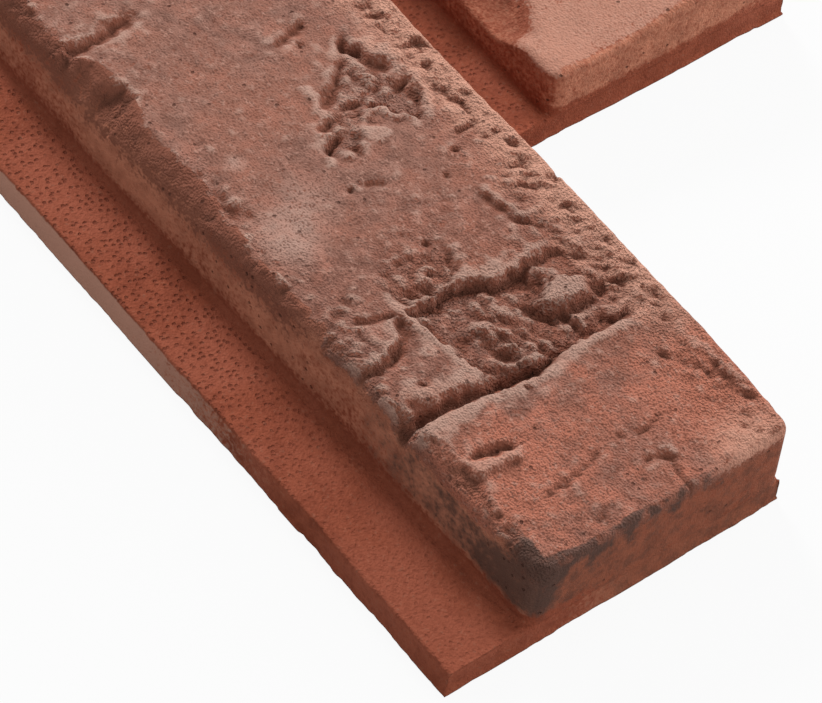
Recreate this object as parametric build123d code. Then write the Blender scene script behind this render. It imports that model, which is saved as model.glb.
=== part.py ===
"""Plaster brick cladding tile: one casting of two staggered courses of moulded bricks on a thin joint bed.

The tile lies on its flat back. X runs along the courses, Y across them and Z out of the wall.
The origin is the centre of the back's bounding box. Sizes are in millimetres and degrees.
"""

import os
from math import radians, tan

from build123d import *

# One moulded brick, measured at its foot, where it meets the joint bed
brick_length = 158.0
brick_width = 60.0
brick_relief = 17.4
brick_draft = 2.5
brick_corner_radius = 3.5
brick_top_radius = 2.4
foot_cove = 0.9

# The joint bed that carries the bricks, which is also the back of the tile
joint_width = 17.0
bed_thickness = 5.6
bed_draft = 3.0
edge_ledge = 0.5

# How the bricks are laid on one tile
courses = 2
bricks_per_course = 2

# Each brick is a little out of square, as a hand-cut brick is. For each brick of each course:
# how far its corners stand out of the plain rectangle (near left, near right, far right, far left),
# then how far the middles of its sides bow outwards (near, right, far, left).
course_shapes = [
    [
        (((0.3, 1.6), (-0.2, -1.6), (0.1, 0.2), (0.4, 0.2)), (0.5, 0.3, 0.3, -0.4)),
        (((0.2, 0.5), (0.3, 0.7), (-0.4, 0.1), (-0.3, -0.6)), (-0.4, -0.3, 0.4, 0.5)),
    ],
    [
        (((-0.3, 0.4), (0.1, -0.5), (-0.5, 0.1), (0.3, -0.4)), (0.3, 0.4, -0.5, 0.4)),
        (((0.4, -0.5), (-0.3, 0.6), (0.2, 0.1), (-0.4, 0.1)), (-0.5, 0.4, 0.2, -0.3)),
    ],
]

# The faces are worn in long waves. For each brick, how far its top lies below the full height at places
# spread evenly from its left end to its right end, along its near edge and then along its far edge.
face_waves = [
    [
        ((0.9, 0.7, 0.8, 0.6, 3.4), (0.5, 0.8, 0.4, 0.3, 2.0)),
        ((1.6, 0.6, 0.9, 0.4, 1.2), (0.8, 0.3, 0.7, 0.9, 0.4)),
    ],
    [
        ((0.8, 0.5, 0.9, 2.9, 7.4), (0.4, 0.8, 0.5, 1.4, 3.6)),
        ((0.5, 0.9, 0.4, 0.8, 1.4), (1.3, 0.6, 0.9, 0.4, 0.7)),
    ],
]

# What broke out of the faces of the old bricks that the pattern was taken from. For each break: how far
# below the full height its floor lies, and the floor's outline, drawn from the right end and the near edge
# of the brick's place in its course. The sides of a break slope outwards by the draft below, and
# what is cut off a brick reaches past it by the margin.
break_draft = 30.0
cut_margin = 2.0
face_breaks = [
    [
        [
            (2.2, ((-54.6, 65), (-53, 53), (-56.4, 44), (-56.6, 34.4), (-46, 36.2), (-38, 35),
                (-37.6, 50), (-38, 65), (-45, 68))),
            (3.4, ((-38.6, 11), (-38.8, 31), (-37.4, 36), (-37.2, 48), (-36.4, 48), (-36, 36),
                (-36.6, 31), (-36.4, 11))),
            (1.9, ((-104, 51.6), (-98, 47.2), (-92, 46), (-90.6, 60), (-97, 65.2), (-109, 63.2),
                (-114, 59.6), (-109, 59))),
            (3.2, ((-129.6, 12), (-126.4, 21.6), (-123.4, 22.4), (-122.4, 12))),
            (2.6, ((-137.6, 11), (-139.4, 33), (-138.4, 33), (-135.6, 11))),
        ],
        [
            (2.4, ((-40, 79), (-47, 62), (-60, 59), (-64.4, 65), (-61, 79))),
            (2.6, ((-96.8, 11), (-99.8, 30), (-95.4, 45.6), (-94.4, 45.4), (-98.4, 30), (-94.8, 11))),
        ],
    ],
    [
        [
            (9.6, ((-34, 10), (-32.6, 17.6), (-26, 20.8), (-20, 17.8), (-18.6, 10))),
            (2.1, ((-85.4, 42), (-80, 54), (-91, 61.4), (-107, 58.6), (-110.4, 49), (-99, 44.4))),
        ],
        [
            (2.4, ((-54, 11), (-52.4, 23), (-59, 31), (-71, 27.4), (-76, 11))),
            (2.0, ((-119.4, 79), (-121.4, 62.6), (-129.4, 52.6), (-130, 53.4), (-122.6, 63.4),
                (-121.4, 79))),
        ],
    ],
]

# Worked out from the sizes above
pitch_along = brick_length + joint_width
pitch_across = brick_width + joint_width
stagger = pitch_along / 2
tile_length = bricks_per_course * pitch_along + stagger
tile_width = courses * pitch_across
bed_top = bed_thickness
face_height = bed_thickness + brick_relief


def course_right(course):
    """X of a course's right end. Every second course is set back by half a brick."""
    return tile_length / 2 - (course % 2) * stagger


def course_near(course):
    """Y of a course's near edge, where its joint starts."""
    return course * pitch_across - tile_width / 2


def joint_bed():
    """The staggered plate, wider at its back because it leaves an open mould."""
    outline = Sketch()
    for course in range(courses):
        right = course_right(course)
        near = course_near(course)
        centre = ((right - bricks_per_course * pitch_along / 2), near + pitch_across / 2)
        outline += Pos(*centre) * Rectangle(bricks_per_course * pitch_along, pitch_across)
    return extrude(outline.clean(), amount=bed_thickness, taper=bed_draft)


def brick_corners(course, place):
    """The four corners of a brick's foot, near left first and then round, out of square as cast."""
    right = course_right(course) - place * pitch_along - edge_ledge
    left = right - brick_length
    far = course_near(course) + pitch_across - edge_ledge
    near = far - brick_width
    shifts = course_shapes[course % 2][place % 2][0]
    plain = ((left, near), (right, near), (right, far), (left, far))
    outward = ((-1, -1), (1, -1), (1, 1), (-1, 1))
    return [
        (x + way_x * out_x, y + way_y * out_y)
        for (x, y), (way_x, way_y), (out_x, out_y) in zip(plain, outward, shifts)
    ]


def outline_face(corners, bows, inset, height):
    """A four-sided face whose sides bow, drawn in from the brick's foot by an inset."""
    inward = ((1, 1), (-1, 1), (-1, -1), (1, -1))
    drawn = [(x + way_x * inset, y + way_y * inset) for (x, y), (way_x, way_y) in zip(corners, inward)]
    outward = ((0, -1), (1, 0), (0, 1), (-1, 0))
    sides = Curve()
    for side in range(4):
        start, end = drawn[side], drawn[(side + 1) % 4]
        middle = tuple((a + b) / 2 + way * bows[side] for a, b, way in zip(start, end, outward[side]))
        sides += ThreePointArc(start, middle, end)
    face = make_face(sides)
    return Pos(0, 0, height) * fillet(face.vertices(), brick_corner_radius - inset)


def tapered_block(course, place, low, high, inset_low, inset_high):
    """A block between two heights that follows a brick's outline."""
    corners = brick_corners(course, place)
    bows = course_shapes[course % 2][place % 2][1]
    faces = [outline_face(corners, bows, inset_low, low), outline_face(corners, bows, inset_high, high)]
    return loft(faces, ruled=True)


def worn_away(course, place):
    """The space over a brick's worn face: a near and a far wave, and straight lines across between them."""
    corners = brick_corners(course, place)
    left, right = corners[0][0] - cut_margin, corners[1][0] + cut_margin
    near, far = corners[0][1] - cut_margin, corners[2][1] + cut_margin
    lids = []
    for y, drops in zip((near, far), face_waves[course % 2][place % 2]):
        step = (right - left) / (len(drops) - 1)
        wave = Spline([(left + i * step, y, face_height - drop) for i, drop in enumerate(drops)])
        over = face_height + cut_margin
        lids.append(make_face(wave + Polyline(wave @ 1, (right, y, over), (left, y, over), wave @ 0)))
    return loft(lids, ruled=True)


def broken_out(course, place, drop, outline):
    """One break in a brick's face: a flat floor, and sides that slope outwards to above the full height."""
    along, across = course_right(course) - place * pitch_along, course_near(course)
    floor = Pos(along, across, face_height - drop) * make_face(Polyline(outline, close=True))
    return extrude(floor, amount=drop + cut_margin, taper=-break_draft)


def brick(course, place):
    """One moulded brick: drafted walls, a worn and waved face, rolled edges, and then its breaks."""
    top_inset = brick_relief * tan(radians(brick_draft))
    block = tapered_block(course, place, bed_top, face_height, 0, top_inset) - worn_away(course, place)
    rim = block.faces().sort_by(Axis.Z)[-1].edges()
    block = fillet(rim, brick_top_radius)
    for drop, outline in face_breaks[course % 2][place % 2]:
        block -= broken_out(course, place, drop, outline)
    return block


def foot(course, place):
    """The cove at a brick's foot, a sloping band that runs into the wall at half its height."""
    return tapered_block(course, place, bed_top, bed_top + 2 * foot_cove, -foot_cove, foot_cove)


def cladding_tile():
    """The whole casting, with the coves kept inside the bed's own outline."""
    tile = joint_bed()
    room = extrude(tile.faces().sort_by(Axis.Z)[-1], amount=brick_relief)
    for course in range(courses):
        for place in range(bricks_per_course):
            tile += foot(course, place) & room
            tile += brick(course, place)
    return tile


os.makedirs("parts", exist_ok=True)
export_step(cladding_tile(), "parts/cladding_tile.step")
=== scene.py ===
"""Plaster brick cladding tile: one casting of two staggered courses of moulded bricks on a joint bed."""
import math

import bpy
import numpy as np
from mathutils import Matrix, Vector, noise


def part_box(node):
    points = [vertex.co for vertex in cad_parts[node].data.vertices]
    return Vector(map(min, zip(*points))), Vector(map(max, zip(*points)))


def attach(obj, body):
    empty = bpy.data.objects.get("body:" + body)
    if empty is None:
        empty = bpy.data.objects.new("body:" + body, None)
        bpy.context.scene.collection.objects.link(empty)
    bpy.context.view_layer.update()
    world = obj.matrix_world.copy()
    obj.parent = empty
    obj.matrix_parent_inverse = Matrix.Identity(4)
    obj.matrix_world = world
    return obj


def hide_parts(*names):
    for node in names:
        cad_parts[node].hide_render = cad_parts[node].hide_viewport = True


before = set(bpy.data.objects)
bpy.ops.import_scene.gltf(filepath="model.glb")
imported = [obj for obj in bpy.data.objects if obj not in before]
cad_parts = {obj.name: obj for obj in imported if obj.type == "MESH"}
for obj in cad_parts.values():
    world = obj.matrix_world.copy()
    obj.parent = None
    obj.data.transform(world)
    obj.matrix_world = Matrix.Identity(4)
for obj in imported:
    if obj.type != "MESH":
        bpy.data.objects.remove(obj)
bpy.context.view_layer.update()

# The plan of the tile. Each course is two bricks on a bed that shows as the mortar joint along the near
# and left side of every brick, and the far course is set back by half a brick. The mould is open at its
# back, so walls and bed edges lean in towards the face. All sizes here are in millimetres.
low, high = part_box("cladding_tile")
tile_length, tile_width, face_height = (1000 * size for size in high - low)
brick_length = 158.0
brick_width = 60.0
joint_width = 17.0
edge_ledge = 0.5
bed_top = 5.6
brick_relief = face_height - bed_top
pitch = brick_length + joint_width
wall_lean = math.tan(math.radians(2.5))
bed_lean = math.tan(math.radians(3.0))
corner_radius = 3.5
plain_edge = 2.4

# Lines of the net: up a wall, round a corner, and how far from the corner the latter reach
wall_lines = 16
turn_lines = 8
corner_reach = 8.0
turn = wall_lines + turn_lines

# For each brick of each course: how far its corners stand out of the plain rectangle
# (near left, near right, far right, far left), then how far its sides bow out (near, right, far, left)
course_shapes = (
    (
        (((0.3, 1.6), (-0.2, -1.6), (0.1, 0.2), (0.4, 0.2)), (0.5, 0.3, 0.3, -0.4)),
        (((0.2, 0.5), (0.3, 0.7), (-0.4, 0.1), (-0.3, -0.6)), (-0.4, -0.3, 0.4, 0.5)),
    ),
    (
        (((-0.3, 0.4), (0.1, -0.5), (-0.5, 0.1), (0.3, -0.4)), (0.3, 0.4, -0.5, 0.4)),
        (((0.4, -0.5), (-0.3, 0.6), (0.2, 0.1), (-0.4, 0.1)), (-0.5, 0.4, 0.2, -0.3)),
    ),
)


def evenly(start, stop, step):
    """Positions from start up to, but without, stop."""
    return np.linspace(start, stop, max(1, round((stop - start) / step)), endpoint=False)


def brick_lines(start, length, step):
    """Positions of the net's lines along one side of a brick, closer together at its two corners."""
    stop = start + length
    return np.concatenate([
        np.linspace(start, start + corner_reach, turn, endpoint=False),
        evenly(start + corner_reach, stop - corner_reach, step),
        np.linspace(stop - corner_reach, stop, turn + 1),
    ])


def joint_lines(start, stop, step):
    """Positions across a joint that starts at the tile's own edge."""
    return np.concatenate([start + np.array([0.0, 0.9, 1.5]), evenly(start + 2.2, stop, step)])


def fade(value, start, stop):
    """0 at start, 1 at stop, and smooth between them."""
    share = np.clip((value - start) / (stop - start), 0, 1)
    return share * share * (3 - 2 * share)


# The bricks' walls. They lean in by the mould's draft, rise from a small cove at the foot, and end in a
# shoulder, where the old brick's edge wore round or chipped. A wall's lines in the net are numbered from
# its foot up: through the cove, up the straight part, and over the shoulder.
cove = 0.8
cove_inset = (-cove, -0.25 * cove, 0.12)
cove_height = (0.0, 0.25, 0.9)
cove_end = len(cove_height) - 1
shoulder_foot = 8


def wall_profile(line, width, depth):
    """Where a line of the wall runs, in from the foot and up from the bed, with a shoulder of that size."""
    wall_top = brick_relief - depth
    if line <= cove_end:
        return cove_inset[line] + 0 * width, cove_height[line] + 0 * width
    if line <= shoulder_foot:
        share = (line - cove_end) / (shoulder_foot - cove_end)
        height = cove_height[-1] + share * (wall_top - cove_height[-1])
        return height * wall_lean, height
    # A narrow shoulder is round, and a wide one is mostly a flat chip
    share = (line - shoulder_foot) / (wall_lines - shoulder_foot)
    flat = 0.7 * np.clip((width - 2.8) / 2.0, 0, 1)
    inset = flat * share + (1 - flat) * (1 - math.cos(share * math.pi / 2))
    rise = flat * share + (1 - flat) * math.sin(share * math.pi / 2)
    return wall_top * wall_lean + width * inset, wall_top + depth * rise


def wall_line(line, lines, shoulder, joint_side):
    """Points of one line of the net on a brick's side: along it, in from the foot and up from the bed."""
    length = lines[-1]
    plain = wall_profile(line, plain_edge, plain_edge)[0]
    arc = (corner_radius - plain) * math.pi / 4
    travel = np.arange(turn - line + 1) / (turn - line) * (arc + corner_reach - corner_radius)
    bend = np.clip(1 - travel / arc, 0, 1) * math.pi / 4
    ahead = corner_radius + np.maximum(travel - arc, 0)
    straight = lines[turn + 1 : len(lines) - turn - 1]
    angle = np.concatenate([bend, 0 * straight, bend[::-1]])
    along = np.concatenate([ahead, straight, length - ahead[::-1]])
    width = np.interp(along, *shoulder["width"])
    depth = np.interp(along, *shoulder["depth"])
    inset, rise = wall_profile(line, width, depth)
    # The cove stays inside the bed, so it runs out towards the tile's own edges
    if line < cove_end:
        inset = inset * (1 - fade(along, length - 16, length - 4)) if joint_side else 0 * inset
    away = corner_radius - inset
    lean = np.concatenate([bend, 0 * straight, -bend[::-1]])
    return along - away * np.sin(lean), corner_radius - away * np.cos(angle), rise + 0 * along


# The bricks' faces. The pattern was pressed from worn, hand-made bricks, and every brick of the tile is
# different: shoulders that are rounded or chipped, broken hollows, faults right across the brick, and cracks.
# Marks are drawn on each brick from the right end and the near edge of its place in the course.
def worn_edge(places, widths, depths, depth_places=None):
    """A shoulder: its width and its depth at places along its side, the same ones unless others are given."""
    return {"width": (places, widths), "depth": (depth_places or places, depths)}


plain_shoulder = worn_edge([0, brick_length], [plain_edge, plain_edge], [plain_edge, plain_edge])
shoulders = {
    (0, 0): {
        "near": worn_edge(
            [0, 6, 14, 20, 26, 31, 36, 42, 62, 70, 80, 90, 97, 101, 107, 114, 119, 124, 138, 146, 152, 158],
            [2.4, 3, 2.6, 2.2, 5.2, 6.0, 5.6, 4.2, 4.0, 2.6, 1.8,
             2.0, 3.6, 1.4, 3.4, 2.4, 3.2, 2.6, 3.0, 3.2, 2.8, 2.4],
            [2.4, 5, 6.2, 5.4, 3.4, 3.6, 3.4, 2.4],
            [0, 8, 20, 62, 75, 95, 120, 158],
        ),
        "right": worn_edge(
            [0, 6, 10, 40, 46, 54, 60],
            [2.4, 2.2, 1.3, 1.3, 2.8, 3.0, 2.4],
            [2.4, 2.0, 1.2, 1.2, 1.6, 2.0, 2.4],
        ),
        "far": worn_edge(
            [0, 8, 40, 60, 90, 110, 150, 158],
            [2.4, 1.2, 0.8, 1.4, 0.8, 1.0, 1.4, 2.4],
            [2.4, 1.2, 0.8, 1.2, 0.8, 1.0, 1.2, 2.4],
        ),
    },
    (0, 1): {
        "near": worn_edge(
            [0, 12, 30, 48, 60, 72, 90, 104, 120, 138, 150, 158],
            [2.4, 4.4, 3.0, 2.2, 5.0, 3.4, 2.0, 2.8, 5.4, 3.0, 2.2, 2.4],
            [2.4, 4.0, 3.0, 5.4, 3.0, 5.0, 3.0, 2.4],
            [0, 12, 30, 60, 90, 120, 150, 158],
        ),
        "left": worn_edge([0, 10, 28, 44, 60], [2.4, 3.4, 2.2, 4.0, 2.4], [2.4, 3.0, 2.4, 3.8, 2.4]),
    },
    (1, 1): {
        "near": worn_edge(
            [0, 16, 36, 54, 70, 96, 110, 132, 158],
            [2.4, 2.2, 3.8, 2.4, 4.6, 2.6, 3.0, 5.0, 2.4],
            [2.4, 2.4, 3.4, 2.6, 4.4, 2.4, 3.0, 4.6, 2.4],
        ),
        "far": worn_edge(
            [0, 20, 44, 80, 120, 158],
            [2.4, 3.4, 2.0, 1.4, 3.2, 2.4],
            [2.4, 2.8, 1.8, 1.4, 2.6, 2.4],
        ),
    },
    (1, 0): {
        "near": worn_edge(
            [0, 20, 50, 80, 100, 118, 126, 138, 143, 150, 158],
            [2.4, 3.4, 2.2, 3.6, 2.6, 5.0, 7.0, 6.4, 2.0, 1.8, 2.4],
            [2.4, 2.6, 2.0, 3.0, 2.4, 3.4, 5.0, 4.6, 1.6, 1.6, 2.4],
        ),
        "right": worn_edge([0, 8, 20, 40, 60], [2.4, 1.2, 1.0, 1.4, 2.4], [2.4, 1.2, 1.0, 1.4, 2.4]),
    },
}

# Grooves: depth, width to the left of the line's run, width to its right, and the line's points
grooves = {
    (0, 0): (
        (0.8, 0.6, 1.4, ((-57.4, 33.5), (-57, 38), (-57.6, 42), (-57.2, 46), (-55.4, 49), (-54.2, 51.5),
            (-54.6, 57), (-54.6, 60), (-54.8, 64))),
        (2.8, 1.4, 1.6, ((-37.4, 10), (-37.8, 18), (-37.9, 24), (-37.7, 29.6), (-36.6, 33.6), (-35.9, 37),
            (-35.7, 42), (-35.8, 46.4), (-37.2, 50.4))),
        (1.9, 3.0, 1.7, ((-38.6, 8), (-38.4, 14), (-38.2, 20), (-38.0, 23))),
        (1.2, 2.6, 0.9, ((-36.8, 51), (-37.4, 55.5), (-36.9, 60), (-36.4, 66.5))),
        (1.1, 0.7, 1.0, ((-49.4, 52.8), (-46, 52.6), (-43.4, 54.4), (-42.7, 59), (-42.8, 63.4), (-44, 67.5))),
        (1.5, 0.7, 2.3, ((-50.4, 16), (-50.4, 22), (-50.9, 24.8), (-51.8, 27), (-53.6, 29.2), (-57, 31.6))),
        (0.8, 0.6, 0.8, ((-58.4, 31.5), (-59, 28), (-60, 25.3), (-60.5, 23.3))),
        (1.1, 0.7, 1.0, ((-114.4, 62.4), (-111.5, 62.2), (-109, 62.8), (-106, 64.8), (-103.6, 65.8))),
        (1.3, 0.6, 1.0, ((-109.8, 59.4), (-107.6, 57.2), (-105.6, 54.8), (-104, 52), (-103, 50))),
        (1.0, 1.1, 0.9, ((-120.3, 58.6), (-120, 55), (-119.5, 51.2))),
        (1.1, 0.5, 0.6, ((-99.6, 66.6), (-99.4, 63))),
        (0.9, 0.5, 0.6, ((-96.8, 65.6), (-93.6, 65.2))),
        (1.0, 0.5, 0.6, ((-98.6, 57.4), (-97.8, 59.6), (-95.4, 60.4), (-92.4, 61))),
        (1.4, 0.7, 0.8, ((-99.6, 49), (-98.8, 47.2), (-97.4, 46))),
        (1.5, 0.7, 0.9, ((-96, 48), (-95.2, 46), (-94, 44))),
        (1.0, 0.5, 0.5, ((-93, 49.3), (-90.2, 49))),
        (0.8, 0.5, 0.5, ((-101.6, 52.4), (-100.6, 55.6), (-101.4, 58.4))),
        (0.7, 0.6, 0.8, ((-72, 61.2), (-69, 61.4), (-65, 62.4), (-62, 64.3), (-59.4, 65.6))),
        (0.8, 0.7, 0.7, ((-85.4, 70.4), (-85.2, 66.6))),
        (0.6, 0.7, 0.7, ((-82.6, 49), (-84.3, 46.5), (-85, 43.6))),
        (1.2, 1.0, 0.7, ((-24.9, 30.4), (-25.8, 27.6), (-26.4, 24.6), (-26.2, 22.4))),
        (0.5, 0.6, 0.8, ((-24, 67.2), (-21, 69), (-17.6, 70.6))),
        (0.6, 0.6, 0.9, ((-22, 72), (-17, 71.8), (-12, 72.4), (-8.5, 74.6))),
        (0.55, 0.45, 0.45, ((-16.1, 57), (-15.3, 53), (-15.5, 50.5))),
        (0.55, 0.45, 0.45, ((-15.7, 43.4), (-14.9, 38.5), (-13.7, 35.4), (-13.4, 33), (-13.2, 28))),
        (0.7, 0.6, 0.6, ((-8.3, 53.2), (-9.4, 50.4), (-10, 48.2))),
        (0.7, 0.6, 0.6, ((-8, 53.3), (-4.6, 52), (-0.5, 51.4))),
        (0.5, 0.5, 0.5, ((-6, 37.4), (-5.9, 35.4), (-4.6, 33.6))),
        (1.7, 1.2, 1.4, ((-136.2, 10), (-136.6, 16), (-137.6, 21), (-138.4, 27), (-138.6, 34))),
        (0.6, 1.0, 1.0, ((-100, 23.4), (-97.6, 21.8), (-95.4, 22.6))),
        (0.4, 0.5, 0.5, ((-64, 22.9), (-58, 22.7), (-52.5, 23.1))),
        (0.5, 0.7, 0.7, ((-109, 70), (-106, 72.4), (-103.4, 75))),
        (0.6, 0.7, 0.7, ((-93.4, 70.2), (-90.6, 71.6), (-88, 72))),
        (0.7, 0.7, 0.7, ((-73.2, 69.8), (-71, 73.4))),
        (0.8, 0.7, 0.7, ((-67.6, 75.6), (-65.8, 74.4))),
    ),
    (0, 1): (
        (1.9, 1.1, 1.3, ((-95.8, 10), (-97.6, 20), (-99.2, 30), (-97, 38), (-95, 45.4))),
        (0.9, 0.8, 1.4, ((-65, 66), (-60.6, 58.4), (-52, 60.2), (-46.6, 62.4), (-43, 69), (-40, 75))),
        (0.9, 0.7, 0.8, ((-22, 30), (-26, 34), (-27, 40), (-31, 43.6))),
        (0.7, 0.6, 0.6, ((-124, 66), (-119, 60), (-120, 53), (-116, 48.4))),
        (0.6, 0.6, 0.7, ((-140, 34), (-134, 37), (-128, 36))),
        (0.8, 0.7, 0.7, ((-72, 26), (-69, 32), (-70, 37))),
        (0.6, 0.6, 0.6, ((-12, 60), (-16, 52), (-14, 46))),
        (0.7, 0.7, 1.2, ((-150, 70), (-138, 72), (-126, 71.4), (-112, 73))),
    ),
    (1, 0): (
        (0.9, 0.7, 1.4, ((-110.4, 49.6), (-107, 58.2), (-99, 60.4), (-91, 61.6), (-84, 57.6), (-80.4, 53.6))),
        (0.8, 0.6, 0.7, ((-52, 24), (-55, 30), (-54, 37), (-57.6, 41))),
        (0.7, 0.6, 0.6, ((-132, 60), (-128, 52), (-129, 44))),
        (0.8, 0.7, 0.7, ((-70, 66), (-64, 63), (-58, 64.6))),
        (0.6, 0.6, 0.6, ((-40, 56), (-43, 49), (-41.6, 44))),
        (0.6, 0.7, 1.1, ((-96, 70), (-84, 71.4), (-70, 70.6))),
    ),
    (1, 1): (
        (1.6, 1.0, 1.0, ((-120.4, 77), (-121.4, 70), (-122, 63), (-126, 57.6), (-129.7, 53))),
        (1.0, 0.7, 1.4, ((-53.4, 16), (-52.8, 23), (-59, 30.6), (-65, 29), (-70.8, 27), (-73.6, 19))),
        (0.8, 0.6, 0.6, ((-30, 66), (-26, 58), (-27.6, 50), (-24, 44))),
        (0.7, 0.6, 0.7, ((-90, 52), (-86, 48), (-80, 48.6))),
        (0.7, 0.6, 0.6, ((-108, 30), (-112, 36), (-110.6, 42))),
        (0.6, 0.7, 0.7, ((-140, 24), (-144, 30), (-143, 36))),
    ),
}

# Hollows: depth, softness of the rim, how broken the floor is, and the outline
hollows = {
    (0, 0): (
        (1.5, 0.75, 1.0, ((-56, 58.5), (-54.6, 52), (-57.2, 48), (-58.2, 42), (-57.6, 37), (-58, 33),
            (-50, 34), (-45, 34.6), (-40, 35.4), (-36.4, 34.5), (-35.8, 44), (-36.2, 50), (-36.6, 58))),
        (1.1, 2.8, 0.8, ((-56, 58.5), (-56, 66), (-50, 69), (-45, 70.6), (-40.5, 70.6), (-36, 67),
            (-36.6, 58))),
        (0.7, 1.3, 0.7, ((-105.8, 55), (-103.4, 50.6), (-99, 48.6), (-96, 44.6), (-93, 44), (-91.6, 48),
            (-92.4, 50), (-95.6, 52.6), (-97.4, 55), (-97.6, 59), (-93, 61.6), (-92, 64.4), (-97, 66.4),
            (-103, 65.4), (-109, 63.8), (-114, 62.6), (-113, 60.9), (-110, 59.8), (-107.6, 57.6))),
        (0.5, 0.8, 0.3, ((-97.4, 58.6), (-96.6, 54), (-94.4, 54.4), (-92.6, 57.8), (-92.6, 60.6),
            (-95.4, 60.4))),
        (0.4, 2.4, 0.15, ((-28, 65), (-21, 69.6), (-14, 71.6), (-8, 73.4), (-5.5, 70), (-8, 64),
            (-14, 61.6), (-22, 62))),
        (1.7, 1.2, 0.6, ((-129.6, 15), (-128, 20.6), (-126, 23.4), (-122.6, 24.2), (-121.4, 21), (-122, 15))),
        (0.7, 1.6, 1.0, ((-68, 40), (-66, 47.6), (-61, 48), (-58, 42), (-59, 34), (-64, 32.6), (-68, 34.4))),
        (0.8, 1.4, 0.7, ((-35, 10), (-35.4, 17), (-32, 20.6), (-27, 20), (-22, 20.6), (-17, 19.8),
            (-14, 17.4), (-14, 10))),
    ),
    (0, 1): (
        (1.5, 1.2, 0.9, ((-39, 79), (-43, 70), (-46.6, 62.6), (-53, 60), (-60.4, 58.8), (-65, 65),
            (-63, 72), (-61, 79))),
        (0.7, 2.4, 0.5, ((-112, 20), (-106, 27), (-109, 35), (-118, 36), (-124, 28), (-120, 21))),
    ),
    (1, 0): (
        (1.5, 1.2, 0.9, ((-85.4, 41.6), (-81.4, 48), (-80, 54.2), (-86, 59), (-91, 61.6), (-99, 60.6),
            (-107, 58.8), (-110.6, 49), (-99, 44))),
    ),
    (1, 1): (
        (1.6, 1.2, 0.9, ((-53.6, 11), (-52.4, 23), (-55.4, 27.6), (-59, 31), (-65, 29.4), (-71, 27.4),
            (-74, 19), (-76, 11))),
        (0.7, 2.0, 0.5, ((-92, 60), (-84, 64), (-78, 60), (-80, 52), (-88, 50), (-94, 54))),
    ),
}

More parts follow.
